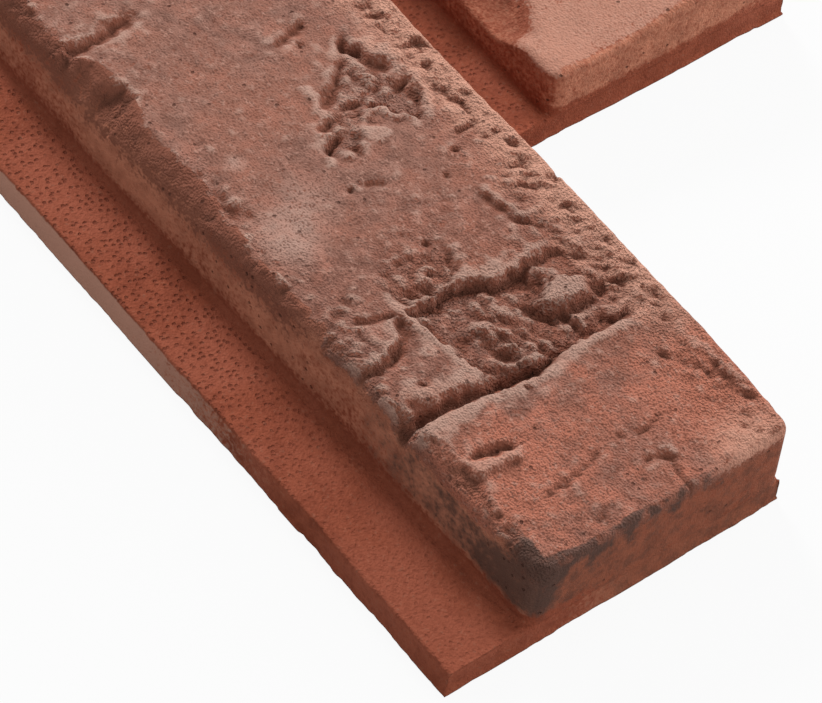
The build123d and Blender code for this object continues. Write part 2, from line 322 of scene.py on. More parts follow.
# Lumps, and pits below 0: height, length, breadth, direction of the length in degrees, and centre
lumps = {
    (0, 0): (
        (2.2, 6.4, 2.7, 86, (-46.4, 59.8)),
        (0.6, 1.5, 1.0, 0, (-48.4, 30.8)),
        (-0.6, 0.8, 0.5, 0, (-48.4, 30.8)),
        (1.2, 2.6, 1.8, 75, (-37.7, 46)),
        (1.0, 2.9, 2.2, 10, (-47.4, 42.4)),
        (1.1, 2.0, 1.4, 60, (-42.6, 44)),
        (-0.7, 1.4, 1.0, 80, (-42.6, 47.2)),
        (-0.7, 1.2, 0.9, 80, (-39.4, 48.8)),
        (-0.5, 1.2, 0.9, 30, (-38.4, 52)),
        (-0.5, 1.0, 0.9, 0, (-37.4, 60.4)),
        (-0.4, 1.2, 0.9, 0, (-39, 62.4)),
        (0.9, 2.4, 1.4, 80, (-38.8, 66)),
        (-0.8, 0.8, 0.7, 60, (-32.8, 40.6)),
        (-0.8, 1.0, 0.6, 60, (-34, 35.4)),
        (-0.7, 0.8, 0.6, 0, (-34.8, 32.4)),
        (-0.7, 0.8, 0.6, 0, (-43.1, 25.4)),
        (-0.7, 0.7, 0.7, 0, (-35.8, 17.6)),
        (-1.3, 2.7, 1.2, 20, (-111.4, 62.3)),
        (-1.1, 2.0, 1.1, -50, (-105.5, 51.9)),
        (-0.9, 1.2, 0.9, 60, (-92.2, 62.8)),
        (-0.8, 1.0, 0.8, 0, (-117, 55.2)),
        (-0.9, 1.0, 0.8, 0, (-81.6, 64)),
        (-0.9, 1.0, 0.8, 0, (-78.2, 58.6)),
        (-0.9, 1.2, 0.9, 20, (-67.8, 45.6)),
        (-0.7, 0.9, 0.7, 0, (-85, 42.6)),
        (0.9, 1.9, 0.8, 55, (-97.2, 46.4)),
        (0.8, 1.6, 1.4, 0, (-91.8, 46.8)),
        (0.7, 1.4, 1.2, 0, (-91.6, 43.4)),
        (1.0, 3.0, 1.5, 60, (-92.2, 54)),
        (0.7, 1.7, 1.2, 0, (-95, 51.4)),
        (0.7, 2.0, 1.3, 20, (-103.6, 60.8)),
        (0.6, 1.8, 1.3, 70, (-100, 61.6)),
        (0.6, 1.8, 1.6, 0, (-99.6, 67.6)),
        (0.6, 3.4, 1.8, 10, (-106.6, 68)),
        (0.6, 1.6, 1.3, 0, (-86.4, 69.6)),
        (0.5, 1.8, 1.2, 0, (-81.6, 69)),
        (0.6, 2.4, 1.6, 20, (-124.6, 17.4)),
        (0.5, 1.6, 1.2, 30, (-129, 18)),
        (0.7, 2.4, 1.5, 30, (-41.5, 39)),
        (0.6, 2.0, 1.2, 20, (-52.6, 45)),
        (0.5, 2.0, 1.6, 0, (-62.4, 40)),
        (0.5, 1.6, 1.2, 0, (-60.4, 45)),
        (0.5, 1.8, 1.2, 0, (-93.6, 22.8)),
        (0.4, 1.6, 1.0, 30, (-85, 43.4)),
        (0.4, 5.0, 1.0, 72, (-23.2, 26)),
        (-0.6, 1.5, 0.9, 20, (-25.6, 66)),
        (-0.6, 0.9, 0.8, 30, (-16.4, 47.4)),
    ),
    (0, 1): (
        (1.0, 3.4, 2.4, 40, (-51, 68)),
        (0.9, 2.2, 1.6, 80, (-57.6, 65)),
        (0.8, 2.0, 1.4, 0, (-47, 73)),
        (0.6, 2.6, 1.8, 20, (-114, 29)),
        (0.5, 3.4, 1.4, 60, (-28, 26)),
        (0.5, 2.6, 1.8, 0, (-78, 52)),
        (-0.7, 1.0, 0.8, 0, (-84, 40)),
        (-0.8, 0.8, 0.7, 0, (-36, 52)),
        (-0.7, 0.9, 0.7, 40, (-132, 58)),
    ),
    (1, 0): (
        (1.1, 3.0, 2.2, 30, (-96, 52)),
        (0.9, 2.2, 1.4, 70, (-88, 54)),
        (0.8, 2.0, 1.6, 0, (-104, 54)),
        (0.5, 3.0, 1.8, 0, (-120, 34)),
        (-0.8, 1.0, 0.8, 0, (-72, 36)),
        (-0.7, 0.9, 0.6, 30, (-140, 40)),
        (-0.6, 0.8, 0.7, 0, (-60, 54)),
    ),
    (1, 1): (
        (1.1, 3.0, 2.0, 70, (-62, 22)),
        (0.8, 2.0, 1.4, 10, (-68, 20)),
        (0.6, 3.2, 2.0, 30, (-36, 34)),
        (0.5, 2.4, 1.8, 0, (-100, 56)),
        (-0.8, 1.0, 0.8, 0, (-20, 30)),
        (-0.7, 0.8, 0.7, 0, (-132, 36)),
    ),
}

# Ridges: height, breadth, and the line's points
ridges = {
    (0, 0): (
        (0.9, 0.95, ((-36, 16), (-34.8, 20), (-34.2, 24), (-33.8, 28), (-34.8, 32), (-34.2, 36),
            (-33.6, 40.5), (-34.2, 45), (-35.2, 50))),
        (0.6, 1.1, ((-35.2, 50), (-35.2, 57), (-34.2, 66))),
        (0.7, 0.8, ((-23.6, 31.4), (-23.2, 28), (-22.8, 24), (-23, 20.6))),
        (0.5, 0.8, ((-52.2, 26.4), (-51.6, 23.6), (-51.6, 20.4))),
        (0.5, 0.9, ((-60, 32), (-56, 32.4), (-52, 33.2), (-49, 34), (-45.6, 35.2))),
        (0.9, 0.8, ((-97.2, 53), (-97.6, 56), (-97, 58.8), (-94.6, 59.8), (-91.4, 62.6))),
        (0.6, 0.8, ((-108.4, 49.8), (-104.6, 49), (-102, 48.2))),
        (0.5, 1.2, ((-31, 72.2), (-24, 72), (-18, 72.6), (-12, 73.9))),
        (0.4, 0.8, ((-54.4, 29.6), (-52.6, 27.6), (-52, 24.4))),
        (0.5, 0.8, ((-104, 68), (-100, 68.2), (-96, 67.4), (-92.4, 67))),
        (0.4, 0.9, ((-72, 62.6), (-68.5, 62.8), (-65, 64), (-61.6, 66))),
    ),
}


def uneven(points, size, octaves=3, shift=0.0, smoothness=1.0):
    """Natural unevenness of about -1 to 1, with lumps of the given size."""
    places = (np.asarray(points, float) / size + shift).reshape(-1, 3)
    values = [noise.fractal(place, smoothness, 2.0, octaves) for place in places.tolist()]
    return 2 * np.array(values).reshape(np.shape(points)[:-1])


def crumbs(points, size, shift):
    """Rounded crumbs of about the given size: 0 in the creases between them and 1 on their tops."""
    places = (np.asarray(points, float) / size + shift).reshape(-1, 3)
    nearest = [noise.voronoi(place)[0][:2] for place in places.tolist()]
    values = np.array([second - first for first, second in nearest])
    return fade(values.reshape(np.shape(points)[:-1]), 0.0, 0.42)


def near_line(x, y, path):
    """Distance from a drawn line, the side of its run (left 1, right -1), and the share of the run passed."""
    nearest = np.full(x.shape, 1e9)
    side = np.ones(x.shape)
    passed = np.zeros(x.shape)
    steps = [math.dist(a, b) for a, b in zip(path, path[1:])]
    done = 0.0
    for (ax, ay), (bx, by), step in zip(path, path[1:], steps):
        dx, dy = bx - ax, by - ay
        share = np.clip(((x - ax) * dx + (y - ay) * dy) / step**2, 0, 1)
        away = np.hypot(x - ax - share * dx, y - ay - share * dy)
        closer = away < nearest
        side = np.where(closer, np.sign(dx * (y - ay) - dy * (x - ax)), side)
        passed = np.where(closer, done + share * step, passed)
        nearest = np.where(closer, away, nearest)
        done += step
    return nearest, side, passed / done


def inside(x, y, outline):
    """How deep inside a closed outline each point lies, and below 0 outside it."""
    away = near_line(x, y, outline + outline[:1])[0]
    within = np.zeros(x.shape, bool)
    for (ax, ay), (bx, by) in zip(outline, outline[1:] + outline[:1]):
        crosses = (ay > y) != (by > y)
        within ^= crosses & (x < ax + (y - ay) / ((by - ay) or 1e-9) * (bx - ax))
    return np.where(within, away, -away)


def run_out(passed, start, stop):
    """Full along a drawn line, and less towards both its ends."""
    return fade(np.minimum(passed, 1 - passed), start, stop)


def brick_face(brick, x, y):
    """Height of a brick's face over its plain level, and how broken it is there, from 0 to 1."""
    spots = np.stack([x, y, 0 * x + 31.0 * brick[0] + 57.0 * brick[1]], -1)
    x = x + 0.4 * uneven(spots, 2.4, 2, 3.1) + 0.35 * uneven(spots, 8, 1, 4.2)
    y = y + 0.4 * uneven(spots, 2.4, 2, 9.7) + 0.35 * uneven(spots, 8, 1, 7.7)
    height = -0.45 + 0.22 * uneven(spots, 34, 2, 0.4)
    # Two bricks are worn down towards their right end
    if brick == (0, 0):
        height -= (1.2 + 1.2 * fade(-y, -58, -18)) * fade(x, -32, 0)
    if brick == (1, 0):
        height -= (2.0 + 4.4 * fade(-y, -72, -26)) * fade(x, -64, -9)
        height -= 3.4 * fade(-np.hypot((x + 24) / 12.5, (y - 17.5) / 8.5), -1.1, -0.55)
    broken = np.zeros(x.shape)
    for depth, rim, rough, outline in hollows.get(brick, ()):
        share = fade(inside(x, y, outline), -0.35 * rim, 0.65 * rim)
        height -= depth * share
        broken = np.maximum(broken, rough * share)
    for rise, length, breadth, direction, (cx, cy) in lumps.get(brick, ()):
        way = math.radians(direction)
        ahead = ((x - cx) * math.cos(way) + (y - cy) * math.sin(way)) / length
        across = ((y - cy) * math.cos(way) - (x - cx) * math.sin(way)) / breadth
        height += rise * (1 - fade(np.hypot(ahead, across), 0.5, 1.12))
    for rise, breadth, path in ridges.get(brick, ()):
        away, _, passed = near_line(x, y, path)
        height += rise * np.exp(-((away / breadth) ** 2)) * run_out(passed, -0.05, 0.12)
    for depth, left, right, path in grooves.get(brick, ()):
        away, side, passed = near_line(x, y, path)
        away = away / np.where(side > 0, left, right)
        height -= depth * np.exp(-(away**2.2)) * run_out(passed, -0.08, 0.1)
    # What is left of the old bricks' skin: sandy where it is whole, crumbs and creases where it broke away
    if brick == (0, 0):
        worn_band = 0.85 * fade(y + 2.5 * uneven(spots, 12, 1, 6.6), 63, 70) * (1 - 0.6 * fade(x, -34, -24))
        broken = np.maximum(broken, 0.8 * fade(-y - 1.5 * uneven(spots, 9, 1, 2.6), -21.5, -19.5))
        near_crumbs = fade(-y - 3.0 * uneven(spots, 11, 2, 5.6), -28, -22)
        near_crumbs = near_crumbs * fade(-x, 42, 52) * (1 - fade(-x, 98, 112))
        middle_crumbs = fade(uneven(spots, 16, 2, 8.1), 0.1, 0.5)
        middle_crumbs = middle_crumbs * fade(-x, 54, 60) * (1 - fade(-x, 66, 80))
        broken = np.maximum(broken, 0.42 * np.maximum(near_crumbs, middle_crumbs))
        fine_sand = 0.14
    else:
        worn_band = 0.4 * fade(uneven(spots, 26, 2, 2.4), 0.05, 0.7)
        fine_sand = 0.07
    sandy = 0.09 * uneven(spots, 7, 2, 1.1) + fine_sand * uneven(spots, 2.4, 2, 8.3, 0.5)
    own = 0 * x + 3.0 * brick[0] + 7.0 * brick[1]
    flakes = np.stack([(x + 0.5 * y) / 1.9, y - 0.5 * x, own], -1)
    lumpy = fade(uneven(spots, 9, 2, 3.9), -0.35, 0.25)
    rock = 0.5 * uneven(flakes, 5.0, 3, 2.2, 0.7) + 0.75 * lumpy * (crumbs(flakes, 2.5, 1.3) - 0.7)
    streaks = np.stack([(x + y) / 2.6, y - x, own], -1)
    furrows = 0.75 * (0.25 - np.abs(uneven(streaks, 3.6, 3, 4.4))) + 0.3 * (crumbs(streaks, 2.0, 7.3) - 0.7)
    calm = 1 - fade(y, 73, 75.4)
    height += sandy + calm * (broken * rock + worn_band * furrows) + 0.3 * fade(y, 70, 75)
    return np.minimum(height, 0), np.maximum(broken, 0.8 * worn_band)


# The casting itself: coloured casting plaster with fine sand, poured over the whole pattern in one go.
# It is one closed net: a grid for each course, joined along the line between them, and then the bed's
# sides and back. Around each brick the grid's lines run as rings up the wall and over the shoulder.

# How far from its shoulders a face's grid has evened out, and the numbers that stand for a brick's sides
evened_out = 14.0
near_side, far_side, left_side, right_side = 1, 2, 3, 4


def course_net(course, x_steps, y_step, joint_step):
    """The grid of one course, in the tile's own frame, with what the finish needs to know at each point."""
    right = tile_length / 2 - course * pitch / 2
    near = course * (brick_width + joint_width) - tile_width / 2
    first_left = -2 * pitch
    feet = [-edge_ledge - brick_length, -edge_ledge - brick_length - pitch]
    x_parts = [
        joint_lines(first_left, feet[1], 2 * joint_step),
        brick_lines(feet[1], brick_length, x_steps[1]),
        evenly(feet[1] + brick_length, feet[0], joint_step)[1:],
        brick_lines(feet[0], brick_length, x_steps[0]),
        np.array([0.0]),
    ]
    foot_y = joint_width - edge_ledge
    y_parts = [
        joint_lines(0.0, foot_y, joint_step),
        brick_lines(foot_y, brick_width, y_step),
        np.array([0.0]) + joint_width + brick_width,
    ]
    x_line, y_line = np.concatenate(x_parts), np.concatenate(y_parts)
    starts = np.cumsum([0] + [len(part) for part in x_parts])
    y_first, y_last = len(y_parts[0]), len(y_parts[0]) + len(y_parts[1]) - 1
    plan_y, plan_x = np.meshgrid(y_line, x_line, indexing="ij")
    rise = np.zeros(plan_x.shape)
    ring = np.full(plan_x.shape, -1)
    side = np.zeros(plan_x.shape, int)
    brick_place = np.zeros(plan_x.shape, int)
    face = np.zeros(plan_x.shape)
    marks = np.zeros(plan_x.shape)
    broken = np.zeros(plan_x.shape)
    shift_x, shift_y = np.zeros(plan_x.shape), np.zeros(plan_x.shape)
    for place, part in ((1, 1), (0, 3)):
        x_first, x_last = starts[part], starts[part] + len(x_parts[part]) - 1
        brick = (course, place)
        own = shoulders.get(brick, {})
        x_side = x_parts[part] - x_parts[part][0]
        y_side = y_parts[1] - foot_y
        left = x_parts[part][0]
        x_top, y_top = x_line.copy(), y_line.copy()
        four_sides = (
            ("near", x_side, True), ("far", x_side, False),
            ("left", y_side, True), ("right", y_side, False),
        )
        for line in range(wall_lines + 1):
            for name, lines, joint_side in four_sides:
                along, inward, up = wall_line(line, lines, own.get(name, plain_shoulder), joint_side)
                if name in ("near", "far"):
                    columns = slice(x_first + line, x_last - line + 1)
                    row = y_first + line if name == "near" else y_last - line
                    across = foot_y + inward if name == "near" else foot_y + brick_width - inward
                    plan_x[row, columns], plan_y[row, columns] = left + along, across
                    rise[row, columns], ring[row, columns] = up, line
                    side[row, columns] = near_side if name == "near" else far_side
                    if line == wall_lines and name == "near":
                        x_top[columns] = left + along
                else:
                    rows = slice(y_first + line, y_last - line + 1)
                    column = x_first + line if name == "left" else x_last - line
                    plan_y[rows, column] = foot_y + along
                    plan_x[rows, column] = left + inward if name == "left" else left + brick_length - inward
                    rise[rows, column], ring[rows, column] = up, line
                    side[rows.start + 1 : rows.stop - 1, column] = left_side if name == "left" else right_side
                    if line == wall_lines and name == "left":
                        y_top[rows] = foot_y + along
        # The face's own grid follows the four shoulders and evens out away from them
        i0, i1 = x_first + wall_lines, x_last - wall_lines
        j0, j1 = y_first + wall_lines, y_last - wall_lines
        base_y, base_x = np.meshgrid(y_top[j0 : j1 + 1], x_top[i0 : i1 + 1], indexing="ij")
        from_near = 1 - fade(base_y - y_top[j0], 0, evened_out)
        from_far = 1 - fade(y_top[j1] - base_y, 0, evened_out)
        from_left = 1 - fade(base_x - x_top[i0], 0, evened_out)
        from_right = 1 - fade(x_top[i1] - base_x, 0, evened_out)
        block = (slice(j0, j1 + 1), slice(i0, i1 + 1))
        for plan, base in ((plan_x, base_x), (plan_y, base_y)):
            off = plan[block] - base
            moved = (
                from_near * off[:1] + from_far * off[-1:] + from_left * off[:, :1] + from_right * off[:, -1:]
                - from_near * from_left * off[0, 0] - from_near * from_right * off[0, -1]
                - from_far * from_left * off[-1, 0] - from_far * from_right * off[-1, -1]
            )
            inner = (slice(j0 + 1, j1), slice(i0 + 1, i1))
            plan[inner] = (base + moved)[1:-1, 1:-1]
        ring[block] = np.maximum(ring[block], wall_lines)
        rise[j0 : j1 + 1, i0 : i1 + 1] = brick_relief
        # The joints' lines meet the foot's rounded corners
        rows, columns = np.indices(plan_x.shape)
        held_row, held_column = np.clip(rows, y_first, y_last), np.clip(columns, x_first, x_last)
        out_x = np.abs(x_line[columns] - x_line[held_column])
        out_y = np.abs(y_line[rows] - y_line[held_row])
        outside = (ring < 0) & (out_x < joint_width) & (out_y < joint_width)
        pull = np.where(outside, (1 - fade(out_x, 0, 5)) * (1 - fade(out_y, 0, 5)), 0)
        shift_x += pull * (plan_x[held_row, held_column] - x_line[held_column])
        shift_y += pull * (plan_y[held_row, held_column] - y_line[held_row])
        # The brick as a whole is a little out of square
        corners, bows = course_shapes[course][place]
        u = np.clip((plan_x - left) / brick_length, 0, 1)
        v = np.clip((plan_y - foot_y) / brick_width, 0, 1)
        past_x = np.maximum(0, np.abs(plan_x - left - brick_length / 2) - brick_length / 2)
        past_y = np.maximum(0, np.abs(plan_y - foot_y - brick_width / 2) - brick_width / 2)
        spread = (1 - fade(past_x, 0, 10)) * (1 - fade(past_y, 0, 10))
        nl, nr, fr, fl = corners
        out_of_square_x = (
            -(1 - u) * ((1 - v) * nl[0] + v * fl[0]) + u * ((1 - v) * nr[0] + v * fr[0])
            + 4 * v * (1 - v) * (u * bows[1] - (1 - u) * bows[3])
        )
        out_of_square_y = (
            -(1 - v) * ((1 - u) * nl[1] + u * nr[1]) + v * ((1 - u) * fl[1] + u * fr[1])
            + 4 * u * (1 - u) * (v * bows[2] - (1 - v) * bows[0])
        )
        shift_x += spread * out_of_square_x
        shift_y += spread * out_of_square_y
        # The face and its shoulders carry the brick's own marks
        mine = (slice(y_first, y_last + 1), slice(x_first, x_last + 1))
        x_on = plan_x[mine] + place * pitch
        y_on = plan_y[mine]
        height, rough = brick_face(brick, x_on, y_on)
        brick_place[mine] = place
        reach = np.clip((rise[mine] / brick_relief - 0.08) / 0.92, 0, 1)
        face[mine] = height * reach
        marks[mine] = height
        broken[mine] = rough * reach
    edge = np.zeros(plan_x.shape, bool)
    edge[0], edge[-1], edge[:, 0], edge[:, -1] = True, True, True, True
    shift_x[edge] = shift_y[edge] = 0
    x = plan_x + shift_x
    y = plan_y + shift_y
    z = bed_top + rise + face
    return {
        "x": x + right, "y": y + near, "z": z, "ring": ring, "side": side,
        "on_x": x + brick_place * pitch, "on_y": y, "brick": 2 * course + brick_place,
        "rise": rise / brick_relief, "marks": marks, "broken": broken,
    }


near_course = course_net(0, (0.56, 2.4), 0.6, 1.0)
far_course = course_net(1, (1.6, 2.4), 1.5, 1.6)


def join_courses(near_net, far_net):
    """All points and faces of the top, and its outer edge as one loop of points."""
    size_near, size_far = near_net["x"].size, far_net["x"].size
    index_near = np.arange(size_near).reshape(near_net["x"].shape)
    index_far = np.arange(size_near, size_near + size_far).reshape(far_net["x"].shape)
    grids = [np.stack([net["x"], net["y"], net["z"]], -1) for net in (near_net, far_net)]
    points = np.concatenate([grid.reshape(-1, 3) for grid in grids])
    step_right = int(np.argmin(np.abs(near_net["x"][-1] - far_net["x"][0, -1])))
    step_left = int(np.argmin(np.abs(far_net["x"][0] - near_net["x"][-1, 0])))
    points[index_near[-1, step_right], 0] = far_net["x"][0, -1]
    points[index_far[0, step_left], 0] = near_net["x"][-1, 0]
    # The far course's first row stands a little off the line, except at its ends, where both share a point
    joined = index_far[0, step_left:]
    ends = np.minimum(points[joined, 0] - points[joined[0], 0], points[joined[-1], 0] - points[joined, 0])
    points[joined, 1] += 0.4 * np.clip(ends / 2, 0, 1)
    index_far[0, step_left], index_far[0, -1] = index_near[-1, 0], index_near[-1, step_right]
    quads = []
    for index in (index_near, index_far):
        corners = [index[:-1, :-1], index[:-1, 1:], index[1:, 1:], index[1:, :-1]]
        quads.append(np.stack(corners, -1).reshape(-1, 4))
    lower, upper = list(index_near[-1, : step_right + 1]), list(index_far[0, step_left:])
    triangles = []
    a = b = 0
    while a < len(lower) - 1 or b < len(upper) - 1:
        next_lower = points[lower[a + 1], 0] if a < len(lower) - 1 else 1e9
        next_upper = points[upper[b + 1], 0] if b < len(upper) - 1 else 1e9
        if next_lower <= next_upper:
            corner, a = lower[a + 1], a + 1
            triangle = (lower[a - 1], corner, upper[b])
        else:
            corner, b = upper[b + 1], b + 1
            triangle = (lower[a], corner, upper[b - 1])
        if len(set(triangle)) == 3:
            triangles.append(triangle)
    loop = np.concatenate([
        index_near[0], index_near[1:, -1], index_near[-1, step_right : -1][::-1],
        index_far[1:, -1], index_far[-1, :-1][::-1], index_far[1:-1, 0][::-1],
        index_far[0, : step_left], index_near[1:, 0][::-1],
    ])
    return points, np.concatenate(quads), triangles, loop


points, quads, triangles, loop = join_courses(near_course, far_course)


def drop_from_edge(points, loop):
    """The bed's sides: rows of points from the loop down to the back, with a thin flash at its rim."""
    outline = points[loop, :2]
    ahead = np.roll(outline, -1, 0) - outline
    ahead /= np.linalg.norm(ahead, axis=1)[:, None]
    behind = np.roll(ahead, 1, 0)
    outward = np.stack([ahead[:, 1] + behind[:, 1], -ahead[:, 0] - behind[:, 0]], -1)
    outward /= (1 + (ahead * behind).sum(1))[:, None]
    heights = (bed_top - 0.3, bed_top - 0.75, 3.4, 1.9, 0.75, 0.4, 0.0)
    flash_top = 0.6
    rows = []
    for height in heights:
        extra = 0.12 if height == heights[0] else 0.0
        spots = np.column_stack([outline, np.full(len(outline), height)])
        worn = 0.12 + 0.12 * uneven(spots, 14, 2, 1.7) + 0.09 * uneven(spots, 2.2, 2, 5.3)
        flash = fade(uneven(spots * (1, 1, 0), 7, 2, 8.8), 0.05, 0.5) if height < flash_top else 0.0
        inset = height * bed_lean + extra + worn * (1 - flash) + 0.25 * (height > flash_top)
        inset = np.maximum(inset, 0.0)
        rows.append(np.column_stack([outline - outward * inset[:, None], np.full(len(outline), height)]))
    return rows


sides = drop_from_edge(points, loop)
points[loop] = sides[0]
rows = [loop]
for row in sides[1:]:
    rows.append(np.arange(len(points), len(points) + len(row)))
    points = np.concatenate([points, row])
side_quads = np.concatenate([
    np.stack([np.roll(upper, -1), upper, lower, np.roll(lower, -1)], -1)
    for upper, lower in zip(rows, rows[1:])
])
back = rows[-1][::-1]

faces = quads.tolist() + [list(map(int, triangle)) for triangle in triangles]
faces += side_quads.tolist() + [back.tolist()]
net = bpy.data.meshes.new("cast_tile")
net.from_pydata((points * 0.001).tolist(), [], faces)
tile = bpy.data.objects.new("cast_tile", net)
bpy.context.scene.collection.objects.link(tile)
net.polygons.foreach_set("use_smooth", [True] * (len(faces) - 1) + [False])

# The finish. The plaster is coloured right through; a brown wash lies on the bricks' walls, soot on some of
# their corners, and a pale lime-and-clay coat is dry-brushed over the faces, so that hollows stay bare.
# Painted shade and painted highlights are laid in with these coats as well.
def blurred(grid, reach):
    """A grid of values, each the mean of its neighbours up to that many lines away."""
    for axis in (0, 1):
        first = np.repeat(np.take(grid, [0], axis), reach + 1, axis)
        last = np.repeat(np.take(grid, [-1], axis), reach, axis)
        total = np.cumsum(np.concatenate([first, grid, last], axis), axis)
        width = 2 * reach + 1
        upper = np.take(total, range(width, total.shape[axis]), axis)
        lower = np.take(total, range(total.shape[axis] - width), axis)
        grid = (upper - lower) / width
    return grid


def spot(x, y, centre, radius):
    """1 at a centre, and 0 from a radius on."""
    return 1 - fade(np.hypot(x - centre[0], y - centre[1]), 0.1 * radius, radius)


def course_finish(net):
    """How much of each coat lies at each point of a course."""
    x, y, rise, side, ring = net["on_x"], net["on_y"], net["rise"], net["side"], net["ring"]
    spots = np.stack([net["x"], net["y"], net["z"]], -1)
    broad, small = uneven(spots, 22, 3, 6.1), uneven(spots, 4, 3, 2.9)
    marks = net["marks"]
    hollow = blurred(marks, 3) - marks + 0.5 * (blurred(marks, 9) - marks)
    on_brick = ring >= 0
    first_brick = net["brick"] == 0
    first_near, first_end = first_brick & (side == near_side), first_brick & (side == right_side)
    worn_brick = (net["brick"] == 2) & on_brick
    worn_share = np.where(worn_brick, fade(x + 9 * broad, -88, -52), 0)
    # The pale coat was brushed on, so hollows stayed bare; slopes that face away from the lamp behind on the
    # left are kept bare too, as painted shade
    near_start = 0.7 + 0.14 * fade(-x, 36, 44) + 0.14 * fade(-x, 58, 66) + 0.2 * fade(x, -16, -6)
    start = np.where(first_near, near_start, 0.84)
    full = start + 0.14 - 0.1 * first_near * fade(-x, 34, 42)
    brush_and_light = np.where(on_brick, fade(rise + 0.04 * small, start, full), 0)
    slope_y, slope_x = np.gradient(net["z"])
    run_x, run_y = np.gradient(net["x"], axis=1), np.gradient(net["y"], axis=0)
    # How far each slope faces the lamp behind on the left, for the painted shade below
    lean = 0.84 * slope_x / np.maximum(run_x, 0.2) - 0.54 * slope_y / np.maximum(run_y, 0.2)
    lean = np.where(ring >= wall_lines - 3, lean, 0)
    brush_and_light *= 1 - 0.8 * fade(hollow, 0.25, 0.9)
    # Painted shade: slopes facing away from the lamp get less of the pale coat
    brush_and_light *= 1 - 0.65 * fade(-lean, 0.12, 0.6)
    brush_and_light *= np.clip(0.9 + 0.12 * broad, 0, 1)
    brush_and_light = np.where(worn_brick & (side == right_side), 0.3 * brush_and_light, brush_and_light)
    brush_and_light = np.where(worn_brick, brush_and_light * (0.5 + 0.5 * fade(-x + 0.5 * small, -0.5, 4.0)), brush_and_light)
    bare_scoop = np.where(worn_brick, fade(-np.hypot((x + 26) / 15, (y - 17) / 9), -1.0, -0.7), 0)
    brush_and_light *= 1 - bare_scoop
    # The brown wash and the umber on the walls
    wall = np.where(on_brick, fade(rise, 0.03, 0.22), 0)
    coat = np.select([side == near_side, side == far_side, side == left_side, side == right_side],
                     [1.0, 0.35, 0.9, 0.5], 0.2)
    wash_and_light = wall * coat * np.clip(0.85 + 0.25 * broad, 0, 1)
    wall = np.where(first_end, np.maximum(wall, fade(y, 22, 44)), wall)
    end_wash = wall * np.clip(1.0 - 0.25 * fade(y, 30, 60) + 0.2 * broad, 0, 1)
    wash_and_light = np.where(first_end, end_wash, wash_and_light)
    wash_and_light = np.where(worn_brick & (side == near_side), 0.4 * wash_and_light, wash_and_light)
    wash_and_light = np.where(worn_brick & (side == right_side), 0.72 * wall, wash_and_light)
    umber = np.where(side == near_side, fade(rise, 0.42, 0.75), 0)
    umber_share = 0.12 * fade(-x, 36, 46) + 0.8 * fade(-x, 60, 72)
    umber = np.where(worn_brick, 0, umber * np.where(first_brick, umber_share, fade(broad, -0.3, 0.5)))
    # Soot lies at the first brick's near right corner, and in a few patches on the other walls
    soot_share = 0.5 * fade(x, -54, -36) + 0.15 * fade(x, -34, -22) + 0.45 * fade(x, -22, -6)
    soot = np.where(first_near, fade(rise, 0.02, 0.25) * soot_share, 0)
    soot *= 1 - fade(rise, 0.66, 0.86) * (1 - fade(x, -14, -5))
    soot += np.where(first_end, (1 - fade(y, 18.5, 27)) * fade(rise, 0.05, 0.3), 0)
    specks = 0.6 * fade(small + 0.35 * fade(rise, 0.5, 0.9), 0.0, 0.9)
    soot += np.where(first_end, specks * fade(rise, 0.3, 0.9) * (1 - fade(y, 46, 70)), 0)
    other_walls = ~first_brick & on_brick & (ring <= wall_lines)
    soot += np.where(other_walls, 0.4 * fade(broad, 0.4, 0.9) * fade(rise, 0.3, 0.8), 0)
    soot += np.where(first_end, 0.32 * fade(rise + 0.15 * small, 0.4, 1.0) * (1 - fade(y, 50, 76)), 0)
    soot += np.where(first_end, 0.22 * (1 - fade(y, 24, 50)), 0)
    soot = np.where(worn_brick, 0, soot)
    # Greyer and redder patches within the pale coat, and a painted highlight on convex rims added to the grey
    grey_and_highlight = 0.9 * spot(x, y, (-82, 26), 10) + 0.5 * spot(x, y, (-87, 33.5), 9)
    grey_and_highlight = grey_and_highlight + 0.15 * fade(-x, 66, 90) + 0.8 * spot(x, y, (-100.6, 27.8), 3)
    grey_and_highlight = np.where(first_brick, grey_and_highlight, 0.15 + 0.25 * broad)
    # Painted highlight: convex rims, away from hollows, get more of the grey
    grey_and_highlight = np.clip(grey_and_highlight + 0.8 * fade(-hollow, 0.15, 0.6), 0, 1) * fade(rise, 0.85, 1)
    grey_and_highlight = grey_and_highlight * (1 - worn_share)
    red = 1.1 * spot(x, y, (-15, 67), 16) + 0.9 * spot(x, y, (-20, 27), 17)
    red = red + 0.4 * fade(x, -36, -24) + 0.3 * fade(y, 60, 70)
    red = red + (0.1 + 0.22 * fade(x, -60, -40)) * small
    red = np.where(first_brick, red, 0.3 * fade(broad, 0, 0.6))
    red = np.clip(red + 0.12 * (rise > 0.9) * fade(small, 0.1, 0.9), 0, 1)
    red = red + worn_share * (0.3 - red)
    # Paler at the first brick's far right corner: partly its wear, partly a painted pool of light
    worn_and_lit_corner = np.where(first_brick & on_brick, 0.9 * spot(x, y, (-1, 68), 13) * fade(rise, 0.8, 0.95), 0)
    far_band = np.where(first_brick, fade(y + 2 * small, 64, 73) * fade(-x, 20, 44), 0)
    pale = np.clip(worn_and_lit_corner + 0.6 * worn_share + far_band, 0, 1)
    # The joint, with its air bubbles, painted shade in the crease along the bricks' feet, and the near
    # course's joint darker towards its right end
    joint_walls = (side == near_side) | (side == left_side)
    # Painted shade in the crease where the walls meet the joint
    foot = blurred(np.where(on_brick & (ring <= 3) & joint_walls, 0.8, 0.0), 2)
    foot += np.where(~on_brick & first_brick, 0.4 * fade(x, -80, -20), 0)
    pits = np.where(on_brick, 0.0, 1.0) * np.where(net["brick"] < 2, 0.35 + 0.65 * fade(-x, 30, 90), 0.7)
    joint = np.where(on_brick, 1 - fade(rise, 0.0, 0.1), 1.0)
